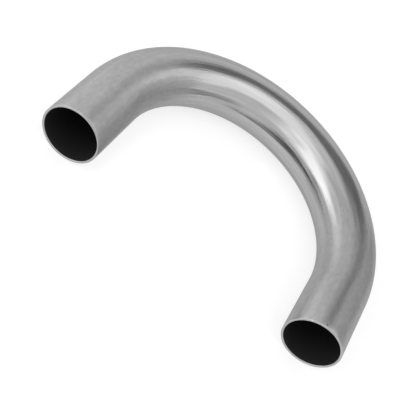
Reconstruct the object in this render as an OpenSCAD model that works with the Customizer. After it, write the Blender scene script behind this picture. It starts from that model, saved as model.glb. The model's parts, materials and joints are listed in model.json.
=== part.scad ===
// Return bend: one length of round stainless tube, bent back on itself through half a turn,
// with a straight run at each end that is cut square and deburred.
// It lies flat: +X runs across the two legs, +Y towards the crown of the bend, +Z up,
// and the origin is at the middle of its footprint, on the surface that it lies on.

/* [Tube] */
// Outside diameter of the tube
tube_od = 31.75; // [19:0.05:60]
// Wall thickness of the tube
tube_wall = 1.25; // [0.9:0.05:3.2]

/* [Bend] */
// Radius of the bend, from its centre to the tube's centreline
bend_radius = 76.2; // [60:0.1:150]

/* [Ends] */
// Straight run at each end, from the end of the bend to the mouth
leg_length = 38.1; // [10:0.1:120]
// Chamfer that breaks the edges of each mouth, inside and outside
edge_break = 0.25; // [0.1:0.05:0.4]

/* [Hidden] */
$fn = 144;

turn_angle = 180;
steel = [0.66, 0.66, 0.67];
tube_radius = tube_od / 2;
bore_radius = tube_radius - tube_wall;
// From the mouths to the crown, which the origin divides in two
overall_depth = leg_length + bend_radius + tube_radius;
bend_centre = [0, leg_length - overall_depth / 2, tube_radius];

// Section of the tube wall, square to its centreline
module wall_section() {
    difference() {
        circle(r = tube_radius);
        circle(r = bore_radius);
    }
}

// Half of one leg's wall, cut along its axis: the bend joins at y = 0, and the mouth is at the top
module leg_profile() {
    polygon([
        [bore_radius, 0],
        [tube_radius, 0],
        [tube_radius, leg_length - edge_break],
        [tube_radius - edge_break, leg_length],
        [bore_radius + edge_break, leg_length],
        [bore_radius, leg_length - edge_break]
    ]);
}

// The wall section swept round the bend's centre, from one leg to the other
module bend() {
    rotate_extrude(angle = turn_angle)
        translate([bend_radius, 0])
            wall_section();
}

// A straight leg that carries the wall on from one end of the bend; side is 1 or -1 along X
module leg(side) {
    translate([side * bend_radius, 0, 0])
        rotate([90, 0, 0])
            rotate_extrude()
                leg_profile();
}

module return_bend() {
    color(steel)
        translate(bend_centre)
            union() {
                bend();
                for (side = [-1, 1]) leg(side);
            }
}

return_bend();
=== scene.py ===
# %% [markdown]
# # A return bend in stainless tube
# A return bend is one length of round tube, bent back on itself through half a turn, with a short
# straight run at each end. This one lies on its side, with both open mouths towards the viewer.
# The lesson follows the workshop: measure the job, draw the tube round the bend, break its cut edges,
# give the outside and the rim the finish that their tools left, paint the bore dark for its shade, and light
# it as a small studio would.

# %% Load the imported model
import json
import math

import bmesh
import bpy
from mathutils import Matrix, Vector


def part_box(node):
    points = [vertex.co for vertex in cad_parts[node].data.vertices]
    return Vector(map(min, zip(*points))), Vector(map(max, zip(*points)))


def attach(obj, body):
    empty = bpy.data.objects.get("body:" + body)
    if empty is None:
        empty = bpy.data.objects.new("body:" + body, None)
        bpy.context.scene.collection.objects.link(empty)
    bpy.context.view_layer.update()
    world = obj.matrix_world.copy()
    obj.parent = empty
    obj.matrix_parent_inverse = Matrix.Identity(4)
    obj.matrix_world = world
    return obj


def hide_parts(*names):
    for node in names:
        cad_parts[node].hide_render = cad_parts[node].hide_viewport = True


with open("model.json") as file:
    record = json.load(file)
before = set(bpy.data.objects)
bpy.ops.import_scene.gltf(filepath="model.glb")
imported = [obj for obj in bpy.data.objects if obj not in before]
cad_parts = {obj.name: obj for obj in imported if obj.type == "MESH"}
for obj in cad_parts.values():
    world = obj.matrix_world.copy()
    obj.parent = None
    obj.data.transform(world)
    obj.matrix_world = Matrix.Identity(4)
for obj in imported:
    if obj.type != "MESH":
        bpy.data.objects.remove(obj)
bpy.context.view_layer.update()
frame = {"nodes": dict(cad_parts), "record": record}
print("nodes:", sorted(frame["nodes"]))

# %% [markdown]
# ## The sizes of the job
# Every size of the tube can be read from the solid model, so none is typed in twice. The model lies
# flat, so its height is the tube's diameter. Its width is the bend's diameter and one tube more, and
# what is left of its depth is the straight run behind each mouth. The wall can't be seen in a box,
# but the record states the bore of each mouth as a mount, and that gives it.

# %% Measure the bend
MILLIMETRE = 0.001
NODE = "return_bend"

low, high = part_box(NODE)
extent = high - low
mounts = {mount["name"]: mount for mount in frame["record"]["mounts"]}
tube_radius = extent.z / 2
bore_radius = mounts["left_bore"]["dims"]["r_mm"] * MILLIMETRE
bend_radius = extent.x / 2 - tube_radius
leg_length = extent.y - bend_radius - tube_radius
mouth_y = low.y
bend_centre = Vector(((low.x + high.x) / 2, mouth_y + leg_length, low.z + tube_radius))
tube_length = 2 * leg_length + math.pi * bend_radius


def in_mm(metres):
    return f"{metres / MILLIMETRE:.2f} mm"


print("tube", in_mm(2 * tube_radius), "across, wall", in_mm(tube_radius - bore_radius))
print("bend radius", in_mm(bend_radius), "and legs of", in_mm(leg_length))
print("length of tube before bending", in_mm(tube_length))

# %% [markdown]
# ## The camera
# The camera looks down at 45 degrees from in front of the mouths and is rolled by nearly as much, which
# is why the bend seems to hang from its upper left. A camera is placed best from the point it looks at:
# three angles, a distance and a focal length in pixels say the same as a matrix, and can be read.

# %% Place the camera
PICTURE_SIDE = 416
FOCAL_PIXELS = 818.65
SENSOR_WIDTH = 36.0
# Angles in degrees
CAMERA_AZIMUTH = -4.80
CAMERA_ELEVATION = 44.94
CAMERA_ROLL = 44.41
CAMERA_DISTANCE = 406.9 * MILLIMETRE
LOOKS_AT = bend_centre + Vector((-3.46, -14.51, 0.0)) * MILLIMETRE


def direction(azimuth, elevation):
    """The way out from the bend at these degrees: azimuth 0 is in front of the mouths, and 90 is +X."""
    turn, rise = math.radians(azimuth), math.radians(elevation)
    level = math.cos(rise)
    return Vector((math.sin(turn) * level, -math.cos(turn) * level, math.sin(rise)))


def make_camera():
    back = direction(CAMERA_AZIMUTH, CAMERA_ELEVATION)
    turn = math.radians(CAMERA_AZIMUTH)
    level_right = Vector((math.cos(turn), math.sin(turn), 0.0))
    axes = Matrix((level_right, back.cross(level_right), back)).transposed()
    rolled = axes @ Matrix.Rotation(math.radians(CAMERA_ROLL), 3, "Z")
    camera = bpy.data.objects.new("camera", bpy.data.cameras.new("camera"))
    camera.data.sensor_width = SENSOR_WIDTH
    camera.data.lens = FOCAL_PIXELS / PICTURE_SIDE * SENSOR_WIDTH
    camera.matrix_world = Matrix.Translation(LOOKS_AT + back * CAMERA_DISTANCE) @ rolled.to_4x4()
    bpy.context.scene.collection.objects.link(camera)
    bpy.context.scene.camera = camera
    return camera


camera = make_camera()
print(f"lens {camera.data.lens:.2f} mm at {camera.location.length:.3f} m from the origin")

# %% [markdown]
# ## The tube
# The real bend starts as straight tube, drawn round a former. A curve with a round bevel would give the
# same path, but no wall. Here the wall's own section is carried along the path instead: two circles are
# bridged into a flat ring at the left mouth, the ring is extruded up the left leg, spun half a turn about
# the bend's centre, and extruded down the right leg. The first ring and the last stay as the cut rims.

# %% Carry the wall's section along the bend
SECTION_SIDES = 128
BEND_STEPS = 128
LEG_STEPS = 12
QUARTER_TURN = math.radians(90)
CUBIC_CENTIMETRE = 1e-6


def faces_of(geometry):
    return [part for part in geometry if isinstance(part, bmesh.types.BMFace)]


def verts_of(geometry):
    return [part for part in geometry if isinstance(part, bmesh.types.BMVert)]


def with_edges(faces):
    """A region to extrude. Given its edges too, the operator takes away the faces that it leaves behind."""
    return faces + list({edge for face in faces for edge in face.edges})


def extrude_leg(bm, end, run):
    """Extrudes the faces of an open end in equal steps, and returns the faces that end up last."""
    for _ in range(LEG_STEPS):
        made = bmesh.ops.extrude_face_region(bm, geom=with_edges(end))["geom"]
        bmesh.ops.translate(bm, verts=verts_of(made), vec=run / LEG_STEPS)
        end = faces_of(made)
    return end


def draw_tube():
    bm = bmesh.new()
    for radius in (tube_radius, bore_radius):
        bmesh.ops.create_circle(bm, cap_ends=False, segments=SECTION_SIDES, radius=radius)
    ring = bmesh.ops.bridge_loops(bm, edges=bm.edges[:])["faces"]
    bmesh.ops.rotate(bm, verts=bm.verts[:], matrix=Matrix.Rotation(QUARTER_TURN, 3, "X"))
    left_mouth = Vector((bend_centre.x - bend_radius, mouth_y, bend_centre.z))
    bmesh.ops.translate(bm, verts=bm.verts[:], vec=left_mouth)
    up_the_leg = Vector((0.0, leg_length, 0.0))
    end = extrude_leg(bm, ring, up_the_leg)
    turned = bmesh.ops.spin(
        bm, geom=with_edges(end), cent=bend_centre, axis=(0, 0, 1), angle=-math.pi, steps=BEND_STEPS
    )
    extrude_leg(bm, faces_of(turned["geom_last"]), -up_the_leg)
    bmesh.ops.recalc_face_normals(bm, faces=bm.faces[:])
    return bm


tube = draw_tube()
print(f"tube: {len(tube.verts)} vertices, {len(tube.faces)} faces")
print(f"steel in it: {tube.calc_volume() / CUBIC_CENTIMETRE:.1f} cubic centimetres")

# %% [markdown]
# ## The broken edges of the mouths
# A saw leaves an edge that cuts the hand, so each rim has been run over a deburring tool inside and out.
# Without that small round, a rim catches no light and looks like paper. The edges to bevel could be kept
# from the extrusion, but it is safer to find them by what they are: they lie in the plane of the mouths
# and join a rim to a wall at a right angle.

# %% Bevel the rims
EDGE_BREAK = 0.25 * MILLIMETRE
RIM_SEGMENTS = 2
ROUND_PROFILE = 0.5
IN_PLANE = EDGE_BREAK / 10
NEARLY_SQUARE = math.radians(80)


def is_cut_edge(edge):
    at_mouth = all(abs(vert.co.y - mouth_y) < IN_PLANE for vert in edge.verts)
    return at_mouth and edge.calc_face_angle(0.0) > NEARLY_SQUARE


cut_edges = [edge for edge in tube.edges if is_cut_edge(edge)]
bmesh.ops.bevel(
    tube, geom=cut_edges, offset=EDGE_BREAK, offset_type="OFFSET", affect="EDGES",
    segments=RIM_SEGMENTS, profile=ROUND_PROFILE, material=-1,
)
print(len(cut_edges), "edges of the mouths broken by", in_mm(EDGE_BREAK))

# %% [markdown]
# ## The tube laid straight
# Belts and wheels leave marks that run along a tube or round it, never along the room's axes. So each
# point also keeps where it was before the tube was bent: how far along, and where in the section. The
# materials read that instead of the bent shape, and a mark follows the bend without the seam that a UV
# map would have. The way that the tube runs is kept beside it, because brushed metal blurs what it
# mirrors more in one direction than in the other.

# %% Store where each point lay before bending
STRAIGHT = "straight_tube"
LENGTHWISE = "lengthwise"


def straightened(point):
    """Metres along the tube from the left mouth, then out from the bend's centre and up, in the section."""
    flat = Vector((point.x - bend_centre.x, point.y - bend_centre.y))
    up = point.z - bend_centre.z
    if flat.y > 0:
        swept = math.pi - math.atan2(flat.y, flat.x)
        return Vector((leg_length + bend_radius * swept, flat.length - bend_radius, up))
    along = leg_length + flat.y
    if flat.x > 0:
        along = tube_length - along
    return Vector((along, abs(flat.x) - bend_radius, up))


def swept_at(along):
    """How far round the bend the tube has turned, this many metres along."""
    return min(max((along - leg_length) / bend_radius, 0.0), math.pi)


straight = tube.verts.layers.float_vector.new(STRAIGHT)
lengthwise = tube.verts.layers.float_vector.new(LENGTHWISE)
for vert in tube.verts:
    vert[straight] = straightened(vert.co)
    swept = swept_at(vert[straight].x)
    vert[lengthwise] = (math.sin(swept), math.cos(swept), 0.0)
print("marks run over", in_mm(max(vert[straight].x for vert in tube.verts)), "of tube")

# %% [markdown]
# ## Three surfaces on one piece
# The outside and the rim were left by two tools, and the bore is painted dark for its shade: each gets a
# material of its own.
# They could be three meshes, but then the edges between them would be open. A face of the one mesh is told
# apart by where it points in the section: outwards, inwards, or neither.

# %% Sort the faces and make the piece
OUTSIDE, BORE, RIM = range(3)
POINTS_PLAINLY = 0.95


def surface_of(face):
    place = straightened(face.calc_center_median())
    spoke = Vector((place.y, place.z)).normalized()
    swept = swept_at(place.x)
    outward = Vector((-math.cos(swept), math.sin(swept), 0.0))
    points = face.normal.dot(outward) * spoke.x + face.normal.z * spoke.y
    if points > POINTS_PLAINLY:
        return OUTSIDE
    return BORE if points < -POINTS_PLAINLY else RIM


def to_object(bm, name):
    """Turns a finished bmesh into an object of the scene, with its place in its mesh."""
    mesh = bpy.data.meshes.new(name)
    bm.to_mesh(mesh)
    bm.free()
    made = bpy.data.objects.new(name, mesh)
    bpy.context.scene.collection.objects.link(made)
    return made


counts = [0, 0, 0]
for face in tube.faces:
    face.material_index = surface_of(face)
    face.smooth = True
    counts[face.material_index] += 1
bend = to_object(tube, "polished_bend")
print("faces outside, in the bore and on the rims:", counts)

# %% [markdown]
# ## Brush marks
# A grit belt leaves fine marks that are longer one way than the other. A picture of brushed steel could
# be wrapped round the tube, but stretched noise draws such marks at any size: it changes fast across them
# and slowly along them. All three surfaces carry marks of this kind, so they are one node group, which
# takes the place on the straight tube and how many marks a metre holds each way. Noise is weakest on the
# planes of its own lattice. Turned out of line with the tube, they never show as rings.

# %% Build the group of brush marks
LATTICE_TURN = (0.6, 0.4, 0.9)
FINER_LAYERS = 3.0
FINER_STRENGTH = 0.6


def put(tree, kind, inputs=None, **settings):
    """Adds a node, sets its properties, and fills its inputs with values or with other nodes' outputs."""
    made = tree.nodes.new(kind)
    for name, value in settings.items():
        setattr(made, name, value)
    for socket, value in (inputs or {}).items():
        if isinstance(value, bpy.types.NodeSocket):
            tree.links.new(value, made.inputs[socket])
        else:
            made.inputs[socket].default_value = value
    return made


def brush_group():
    group = bpy.data.node_groups.new("brush_marks", "ShaderNodeTree")
    for name in ("Marks along", "Marks round"):
        group.interface.new_socket(name, in_out="INPUT", socket_type="NodeSocketFloat")
    group.interface.new_socket("Place", in_out="INPUT", socket_type="NodeSocketVector")
    group.interface.new_socket("Height", in_out="OUTPUT", socket_type="NodeSocketFloat")
    taken = put(group, "NodeGroupInput").outputs
    pitch = put(group, "ShaderNodeCombineXYZ", {
        "X": taken["Marks along"], "Y": taken["Marks round"], "Z": taken["Marks round"],
    })
    stretched = put(group, "ShaderNodeVectorMath", {
        0: taken["Place"], 1: pitch.outputs["Vector"],
    }, operation="MULTIPLY")
    turned = put(group, "ShaderNodeVectorRotate", {
        "Vector": stretched.outputs["Vector"], "Rotation": LATTICE_TURN,
    }, rotation_type="EULER_XYZ")
    noise = put(group, "ShaderNodeTexNoise", {
        "Vector": turned.outputs["Vector"], "Scale": 1.0,
        "Detail": FINER_LAYERS, "Roughness": FINER_STRENGTH,
    })
    put(group, "NodeGroupOutput", {"Height": noise.outputs["Fac"]})
    return group


brush_marks = brush_group()
print("group:", brush_marks.name, "with", len(brush_marks.nodes), "nodes")

# %% [markdown]
# ## The outside: one material for two finishes
# The ends of the tube are satin and the bend between them is buffed. Two materials would meet at a
# line, but on the real tube one finish runs into the other in streaks. So one material holds both, and a
# mask tells it where each of them is. It is filled in short steps, one socket of its shader after
# another, and all of them start from the place on the straight tube.

# %% Start the outside's material
def new_material(name):
    """A material of one Principled shader, with its tree and that shader."""
    material = bpy.data.materials.new(name)
    material.use_nodes = True
    return material, material.node_tree, material.node_tree.nodes["Principled BSDF"]


def straight_place(tree):
    return put(tree, "ShaderNodeAttribute", attribute_name=STRAIGHT).outputs["Vector"]


outside, tree, steel = new_material("brushed_outside")
place = straight_place(tree)
parts = put(tree, "ShaderNodeSeparateXYZ", {"Vector": place}).outputs
print("material:", outside.name, "reads", STRAIGHT)

# %% [markdown]
# ## The outside: where the wheel went
# The whole outside came off the belt satin. Then the bend alone was buffed along its length, and the
# buffing fades out in ragged streaks before the straight ends. A mask says how far each point was buffed.
# It could be painted by hand, but one that is worked out follows the tube when a size changes: it rises
# and falls along the tube, and the wheel's own streaks shift it, so that its ends are torn and not cut.

# %% Mask the buffing
# Marks in a metre along the tube, then round it
STREAKS = (12.0, 420.0)
NOISE_MIDDLE = 0.5
# Shares of the tube's length
BUFFING_STARTS = (0.22, 0.32)
BUFFING_ENDS = (0.71, 0.82)
RAGGED_START = 0.25
RAGGED_END = 0.30
SLANT = 0.03


def brushed(tree, place, marks):
    """The group placed in a material, with the marks in a metre along the tube and round it."""
    along, round_it = marks
    return put(tree, "ShaderNodeGroup", {
        "Place": place, "Marks along": along, "Marks round": round_it,
    }, node_tree=brush_marks).outputs["Height"]


def maths(tree, operation, first, second, third=0.0):
    return put(tree, "ShaderNodeMath", {0: first, 1: second, 2: third}, operation=operation).outputs["Value"]


def fade(tree, value, start, end, before=0.0, after=1.0, ease="LINEAR"):
    """Goes from one number to another between start and end, and stays level outside them."""
    return put(tree, "ShaderNodeMapRange", {
        "Value": value, "From Min": start, "From Max": end, "To Min": before, "To Max": after,
    }, interpolation_type=ease).outputs["Result"]


share = maths(tree, "DIVIDE", parts["X"], tube_length)
streaks = brushed(tree, place, STREAKS)
shift = maths(tree, "SUBTRACT", streaks, NOISE_MIDDLE)
start = maths(tree, "MULTIPLY_ADD", shift, RAGGED_START, share)
end = maths(tree, "MULTIPLY_ADD", shift, RAGGED_END, share)
end = maths(tree, "MULTIPLY_ADD", parts["Z"], SLANT / tube_radius, end)
begun = fade(tree, start, *BUFFING_STARTS)
going = fade(tree, end, *BUFFING_ENDS, before=1.0, after=0.0)
buffed = maths(tree, "MULTIPLY", begun, going)
print("buffed from", in_mm(BUFFING_STARTS[1] * tube_length), "to", in_mm(BUFFING_ENDS[0] * tube_length))

# %% [markdown]
# ## The outside: how sharply it mirrors
# Steel is all reflection. Its colour is nearly one grey, and roughness is what tells satin from buffed.
# The left end is duller than the right one, and both are duller still on the inner side, where a belt
# hardly reaches. One roughness for the whole tube would be simpler, but the stripes would then be as
# soft in the bend as they are on the ends.

# %% Set the roughness
LEFT_SATIN = 0.42
RIGHT_SATIN = 0.32
SATIN_CHANGES = (0.3, 0.6)
BUFFED_ROUGHNESS = 0.19
UNDER_THE_BELT = 0.12
INNER_SIDE = (-0.6 * tube_radius, -0.9 * tube_radius)


def mix(tree, factor, first, second):
    return put(tree, "ShaderNodeMix", {
        "Factor": factor, "A": first, "B": second,
    }, data_type="FLOAT").outputs["Result"]


satin = fade(tree, share, *SATIN_CHANGES, before=LEFT_SATIN, after=RIGHT_SATIN)
inner = fade(tree, parts["Y"], *INNER_SIDE, ease="SMOOTHSTEP")
satin = maths(tree, "MULTIPLY_ADD", inner, UNDER_THE_BELT, satin)
tree.links.new(mix(tree, buffed, satin, BUFFED_ROUGHNESS), steel.inputs["Roughness"])
print("roughness: left", LEFT_SATIN, "right", RIGHT_SATIN, "buffed", BUFFED_ROUGHNESS)

# %% [markdown]
# ## The outside: grain, patches and a pit
# Under what it mirrors, the metal's own tone changes a little: a fine speckle on the satin ends, streaks
# along the buffed bend and faint patches on both. There is also one small pit beside the right mouth. It
# could be cut into the mesh, but it is under 2 mm wide, so a spot in the material paints its shade instead.

# %% Set the colour
STEEL_GREY = 0.415
SPECKLE = (250.0, 500.0)
PATCHES = (60.0, 600.0)
GRAIN = 0.42
MOTTLE = 0.16
PIT_ALONG = tube_length - 1.6 * MILLIMETRE
PIT_TURN = 100
PIT_SIZE = 0.85 * MILLIMETRE
PIT_SHADE = 0.50


def spot(tree, place, along, turn, size):
    """1 at a point of the outside and 0 past its size: metres along, then degrees up from the outer side."""
    angle = math.radians(turn)
    centre = (along, tube_radius * math.cos(angle), tube_radius * math.sin(angle))
    away = put(tree, "ShaderNodeVectorMath", {0: place, 1: centre}, operation="DISTANCE").outputs["Value"]
    return fade(tree, away, size / 2, size, before=1.0, after=0.0, ease="SMOOTHSTEP")


grain = mix(tree, buffed, brushed(tree, place, SPECKLE), streaks)
tone = maths(tree, "MULTIPLY_ADD", grain, GRAIN, 1.0 - GRAIN / 2 - MOTTLE / 2)
tone = maths(tree, "MULTIPLY_ADD", brushed(tree, place, PATCHES), MOTTLE, tone)
pit = spot(tree, place, PIT_ALONG, PIT_TURN, PIT_SIZE)
# Painted shade: the colour darkens in the pit, where its hollow lies in shade.
shade = maths(tree, "MULTIPLY_ADD", pit, PIT_SHADE - 1.0, 1.0)
tone = maths(tree, "MULTIPLY", tone, shade)
tree.links.new(maths(tree, "MULTIPLY", tone, STEEL_GREY), steel.inputs["Base Color"])
print("grey", STEEL_GREY, "with a grain of", GRAIN, "and patches of", MOTTLE)

# %% [markdown]
# ## The outside: relief and gloss
# The grain is far too fine to model, so a bump node bends the light on it instead, and a tone that was
# only painted on gets a relief that fits it. The belt ran round the tube, so its lines blur what the steel
# mirrors along the tube. The shader's anisotropy does that, once it is told which way the tube runs.

# %% Set the relief and the gloss
SATIN_DEPTH = 0.04 * MILLIMETRE
BUFFED_DEPTH = 0.3 * MILLIMETRE
PIT_DEPTH = 0.2 * MILLIMETRE
RELIEF = 0.5
EDGE_GREY = 0.62
LENGTHWISE_BLUR = 0.5


def grey(value):
    return (value, value, value, 1.0)


def set_values(shader, values):
    for name, value in values.items():
        shader.inputs[name].default_value = value


def add_relief(tree, shader, height, strength, depth=1.0):
    """Bumps a shader. A height from 0 to 1 takes a depth in metres, and a height in metres takes none."""
    bump = put(tree, "ShaderNodeBump", {"Height": height, "Strength": strength, "Distance": depth})
    tree.links.new(bump.outputs["Normal"], shader.inputs["Normal"])


height = maths(tree, "MULTIPLY", grain, mix(tree, buffed, SATIN_DEPTH, BUFFED_DEPTH))
height = maths(tree, "MULTIPLY_ADD", pit, -PIT_DEPTH, height)
add_relief(tree, steel, height, RELIEF)
runs = put(tree, "ShaderNodeAttribute", attribute_name=LENGTHWISE).outputs["Vector"]
tree.links.new(runs, steel.inputs["Tangent"])
set_values(steel, {"Metallic": 1.0, "Specular Tint": grey(EDGE_GREY), "Anisotropic": LENGTHWISE_BLUR})
bend.data.materials.append(outside)
print("outside:", bend.data.materials[OUTSIDE].name, "with", len(tree.nodes), "nodes")

# %% [markdown]
# ## The bore
# Nothing polishes the inside of a bend, and little light gets in. That shade is painted into its colour,
# so it reads as nearly black with a soft grey sheen on its lower side. Black alone would look like a hole
# in the picture, so it has a sheen and a small relief.

# %% Make the bore, painted dark for its shade
# Painted shade: this near-black grey stands for the shade inside the tube.
BORE_SHADE_GREY = 0.0125
BORE_ROUGHNESS = 0.65
BORE_SHEEN = 0.35
BORE_RELIEF_MARKS = (300.0, 900.0)
BORE_RELIEF_DEPTH = 0.1 * MILLIMETRE
FAINT_RELIEF = 0.2


def painted_dark_bore():
    material, tree, shader = new_material("bore_painted_shade")
    set_values(shader, {
        "Base Color": grey(BORE_SHADE_GREY), "Roughness": BORE_ROUGHNESS, "Specular IOR Level": BORE_SHEEN,
    })
    add_relief(tree, shader, brushed(tree, straight_place(tree), BORE_RELIEF_MARKS), FAINT_RELIEF, BORE_RELIEF_DEPTH)
    return material


bend.data.materials.append(painted_dark_bore())
print("bore:", bend.data.materials[BORE].name)

# %% [markdown]
# ## The cut rim
# The saw and the deburring tool leave bright bare metal, lighter than the brushed outside and a little
# uneven. The right rim has one small nick, where something has struck it. Its glint is a painted highlight,
# a light spot in the material like the pit, because it is no larger.

# %% Make the rim's finish
RIM_GREY = 0.42
RIM_MOTTLE = 0.5
RIM_ROUGHNESS = 0.35
RIM_PATCHES = (200.0, 220.0)
SAW_MARKS = (200.0, 1800.0)
SAW_DEPTH = 0.05 * MILLIMETRE
NICK_ALONG = tube_length - 0.1 * MILLIMETRE
NICK_TURN = 126
NICK_SIZE = 0.6 * MILLIMETRE
NICK_GLINT_GREY = 0.62


def rim_finish():
    material, tree, shader = new_material("sawn_rim")
    place = straight_place(tree)
    patches = brushed(tree, place, RIM_PATCHES)
    tone = maths(tree, "MULTIPLY_ADD", patches, RIM_MOTTLE * RIM_GREY, RIM_GREY * (1.0 - RIM_MOTTLE / 2))
    nick = spot(tree, place, NICK_ALONG, NICK_TURN, NICK_SIZE)
    # Painted highlight: the nick is lighter in colour for the glint that its facet catches.
    tree.links.new(mix(tree, nick, tone, NICK_GLINT_GREY), shader.inputs["Base Color"])
    set_values(shader, {"Metallic": 1.0, "Roughness": RIM_ROUGHNESS})
    add_relief(tree, shader, brushed(tree, place, SAW_MARKS), FAINT_RELIEF, SAW_DEPTH)
    return material


bend.data.materials.append(rim_finish())
print("rim:", bend.data.materials[RIM].name)

# %% [markdown]
# ## The floor
# The bend lies on a white sheet. A sheet that is only lit comes out grey unless the lamps are turned up,
# and then the metal burns out. So it glows for the camera and in mirrors, and only the rest of its
# brightness is lit, which is enough for the soft shadow under the tube.

# %% Lay the floor
FLOOR_RADIUS = 6.0
FLOOR_SIDES = 64
FLOOR_GLOW = 0.70
FLOOR_GREY = 0.38
MATT = {"Roughness": 1.0, "Specular IOR Level": 0.0}


def seen_directly(tree):
    """1 for rays from the camera, from mirrors and through glass, and 0 for light that falls on things."""
    path = put(tree, "ShaderNodeLightPath").outputs
    shown = maths(tree, "MAXIMUM", path["Is Camera Ray"], path["Is Glossy Ray"])
    return maths(tree, "MAXIMUM", shown, path["Is Transmission Ray"])


def stage_piece(bm, name, material):
    """A piece of the studio, which isn't part of the object."""
    made = to_object(bm, name)
    made.data.materials.append(material)
    return made


def white_sheet():
    material, tree, shader = new_material("white_sheet")
    set_values(shader, {**MATT, "Base Color": grey(FLOOR_GREY), "Emission Color": grey(1.0)})
    glow = maths(tree, "MULTIPLY", seen_directly(tree), FLOOR_GLOW)
    tree.links.new(glow, shader.inputs["Emission Strength"])
    return material


sheet = bmesh.new()
bmesh.ops.create_circle(sheet, cap_ends=True, segments=FLOOR_SIDES, radius=FLOOR_RADIUS)
floor = stage_piece(sheet, "floor", white_sheet())
print("floor of", FLOOR_RADIUS, "m at the height of", floor.location.z)

# %% [markdown]
# ## The surroundings and the softboxes
# A metal tube shows the studio more than itself. An even white room gives the grey of its sides. A large
# softbox low on the left, with a hotter one inside it, gives the broad bright stripe, a strip beside the
# left leg lights its outer side, and one overhead on the right lifts the top. A picture of a studio would
# light it as well, but lamps can be moved one by one until each stripe lies where it should.

# %% Hang the softboxes
AROUND_SEEN = 1.0
AROUND_FILL = 0.75
SOFTBOX_DISTANCE = 1.4


def facing(way, roll=0.0):
    """The turn that makes a flat thing look back along way, with a roll in its own plane in degrees."""
    return way.to_track_quat("Z", "Y").to_matrix() @ Matrix.Rotation(math.radians(roll), 3, "Z")


def hang_lamp(name, place, way, wide, tall, roll, brightness):
    """An area lamp at a place that looks back along way, with its width and height in metres."""
    lamp = bpy.data.lights.new(name, "AREA")
    lamp.shape = "RECTANGLE"
    lamp.size = wide
    lamp.size_y = tall
    lamp.energy = brightness * math.pi * wide * tall
    made = bpy.data.objects.new(name, lamp)
    made.location = place
    made.rotation_euler = facing(way, roll).to_euler()
    made.visible_camera = False
    bpy.context.scene.collection.objects.link(made)
    return made


def softbox(name, azimuth, elevation, wide, tall, roll, brightness):
    """A large lamp that faces the bend, and is as wide and tall from there as these angles in degrees."""
    way = direction(azimuth, elevation)
    width = 2 * SOFTBOX_DISTANCE * math.tan(math.radians(wide / 2))
    height = 2 * SOFTBOX_DISTANCE * math.tan(math.radians(tall / 2))
    return hang_lamp(name, bend_centre + way * SOFTBOX_DISTANCE, way, width, height, roll, brightness)


def white_room():
    world = bpy.data.worlds.new("white_surroundings")
    world.use_nodes = True
    tree = world.node_tree
    level = maths(tree, "MULTIPLY_ADD", seen_directly(tree), AROUND_SEEN - AROUND_FILL, AROUND_FILL)
    tree.links.new(level, tree.nodes["Background"].inputs["Strength"])
    set_values(tree.nodes["Background"], {"Color": grey(1.0)})
    return world


bpy.context.scene.world = white_room()
softboxes = [
    softbox("low_left_softbox", azimuth=-43, elevation=22, wide=84, tall=52, roll=35, brightness=0.45),
    softbox("hot_middle", azimuth=-51, elevation=20, wide=54, tall=32, roll=35, brightness=0.75),
    softbox("left_strip", azimuth=-108, elevation=10, wide=50, tall=26, roll=0, brightness=0.30),
    softbox("overhead_softbox", azimuth=55, elevation=69, wide=95, tall=40, roll=-25, brightness=0.50),
]
print("softboxes:", [lamp.name for lamp in softboxes])

# %% [markdown]
# ## The small lamps
# A softbox is mirrored along most of the tube. A small lamp close to the bend is mirrored in one stretch
# alone, so it can draw a line on the left leg or lift the inner side of the right one. In a real studio
# it would get into the picture. Here the camera doesn't see it, and it may hang anywhere.

# %% Hang the small lamps
# Points to aim at, in millimetres from the bend's centre
LEFT_LEG = (-76, -10, 5)
RIGHT_LEG = (76, -20, 5)


def beside_bend(place, target):
    """A place in millimetres from the bend's centre, and the way to it from the target that it looks at."""
    start, end = Vector(place) * MILLIMETRE, Vector(target) * MILLIMETRE
    return bend_centre + start, (start - end).normalized()


def small_lamp(name, place, target, wide, tall, brightness):
    """A lamp close to the bend, with its width and height in millimetres."""
    where, way = beside_bend(place, target)
    return hang_lamp(name, where, way, wide * MILLIMETRE, tall * MILLIMETRE, 0.0, brightness)


small_lamps = [
    small_lamp("left_leg_lamp", (-45, 38, 48), LEFT_LEG, wide=18, tall=30, brightness=0.70),
    small_lamp("crown_lamp", (31, 76, 215), LEFT_LEG, wide=65, tall=44, brightness=0.40),
    small_lamp("left_inner_lamp", (-56, 0, 3), RIGHT_LEG, wide=45, tall=26, brightness=0.40),
    small_lamp("front_lamp", (2, -48, 73), LEFT_LEG, wide=65, tall=43, brightness=0.33),
    small_lamp("right_leg_lamp", (-8, 36, 5), RIGHT_LEG, wide=51, tall=40, brightness=0.30),
]
print("small lamps:", [lamp.name for lamp in small_lamps])

# %% [markdown]
# ## The cards behind the bend
# Bright steel needs something dark to mirror, or it looks like plastic. Cards of dark and grey paper hang
# behind the bend and to its right, and give the dark stripe along its outer side. The metal could be
# shaded instead, but a card is closer than a softbox, so each part of the bend mirrors another part of
# it, and the stripe wanders along the tube as it does on real steel.

# %% Hang the cards
BACK_AZIMUTH = 172
BACK_ELEVATION = 47
RIGHT_AZIMUTH = 125
RIGHT_ELEVATION = 19


def paper(name, value, cover=1.0):
    """Matt paper of one grey. With a cover under 1, it can be seen through."""
    material, _, shader = new_material(name)
    set_values(shader, {**MATT, "Base Color": grey(value), "Alpha": cover})
    return material


def card_shape(corners):
    bm = bmesh.new()
    bm.faces.new([bm.verts.new(Vector(corner) * MILLIMETRE) for corner in corners])
    return bm


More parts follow.
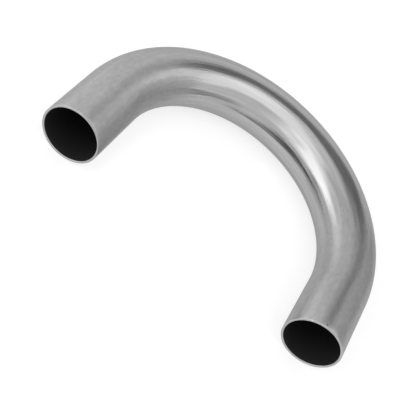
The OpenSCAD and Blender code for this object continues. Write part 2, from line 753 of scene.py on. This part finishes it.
def hang_card(name, azimuth, elevation, distance, corners, value):
    """A card that faces the bend, in millimetres: its distance, and its corners right and up from there."""
    way = direction(azimuth, elevation)
    bm = card_shape([(-right, up, 0.0) for right, up in corners])
    bmesh.ops.rotate(bm, verts=bm.verts[:], matrix=facing(way))
    bmesh.ops.translate(bm, verts=bm.verts[:], vec=bend_centre + way * distance * MILLIMETRE)
    card = stage_piece(bm, name, paper(name, value))
    card.visible_camera = False
    return card


cards = [
    hang_card("dark_card", BACK_AZIMUTH, BACK_ELEVATION, distance=600, corners=[
        (-75, 225), (70, 225), (165, 90), (215, -290), (100, -290), (-55, -30),
    ], value=0.43),
    hang_card("left_card", BACK_AZIMUTH, BACK_ELEVATION, distance=610, corners=[
        (-220, 270), (-70, 270), (-40, -40), (-130, -30),
    ], value=0.75),
    hang_card("low_card", BACK_AZIMUTH, BACK_ELEVATION, distance=620, corners=[
        (-220, 30), (-50, 30), (-45, -60), (-200, -60),
    ], value=0.60),
    hang_card("right_card", RIGHT_AZIMUTH, RIGHT_ELEVATION, distance=354, corners=[
        (-130, 300), (20, 180), (165, 120), (165, -110), (-130, -110),
    ], value=0.88),
]
print("cards behind the bend:", [card.name for card in cards])

# %% [markdown]
# ## The cards that only mirrors see
# The thin dark line along the inner side of the bend mirrors something dark on the floor between the
# legs and in front of them. Two cut cards lie there. A sheet of tracing paper and a strip of smoked film
# hang beside the right half, to dull what it mirrors without hiding it. All four would show, so the
# camera is told to look past them, and they throw no shade. Darker metal could fake the line, but it
# would stay put in other views.

# %% Lay and hang the cards for mirrors
# Millimetres, so that a card on the floor never lies in the same plane as the sheet
CARD_LIFT = 0.5
# Blender's grid is given half its side, so this one is 1 by 1 before it is scaled
HALF_SIDE = 0.5


def for_mirrors_alone(card):
    """Keeps a card out of the picture and its shade off everything else."""
    card.visible_camera = False
    card.visible_shadow = False
    card.visible_diffuse = False
    return card


def lay_card(name, corners, value):
    """A card just clear of the floor, with its corners in millimetres."""
    bm = card_shape([(x, y, CARD_LIFT) for x, y in corners])
    return for_mirrors_alone(stage_piece(bm, name, paper(name, value)))


def near_card(name, place, target, wide, tall, roll, value, cover):
    """A sheet close to the bend, with its width and height in millimetres."""
    where, way = beside_bend(place, target)
    bm = bmesh.new()
    bmesh.ops.create_grid(bm, x_segments=1, y_segments=1, size=HALF_SIDE)
    bmesh.ops.scale(bm, verts=bm.verts[:], vec=(wide * MILLIMETRE, tall * MILLIMETRE, 1.0))
    bmesh.ops.rotate(bm, verts=bm.verts[:], matrix=facing(way, roll))
    bmesh.ops.translate(bm, verts=bm.verts[:], vec=where)
    return for_mirrors_alone(stage_piece(bm, name, paper(name, value, cover)))


mirror_cards = [
    near_card("tracing_paper", (40, 41, 54), RIGHT_LEG, wide=34, tall=54, roll=49, value=0.95, cover=0.36),
    near_card(
        "smoked_film", (12, 36.5, -2.5), (36, 39.5, 11.5), wide=8, tall=30, roll=0, value=0.10, cover=0.28
    ),
    lay_card("dark_wedge", [
        (4, 2), (-8, 4), (-18, 1), (-28, -14), (-28, -40), (-70, -120), (-70, -260), (12, -260),
    ], value=0.10),
    lay_card("grey_wedge", [(4, 2), (12, -260), (30, -260), (20, -60), (14, -2)], value=0.50),
]
print("cards for mirrors:", [card.name for card in mirror_cards])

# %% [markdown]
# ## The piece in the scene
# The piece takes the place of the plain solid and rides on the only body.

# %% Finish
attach(bend, "root")
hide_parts(NODE)
bpy.context.scene.view_settings.view_transform = "Standard"
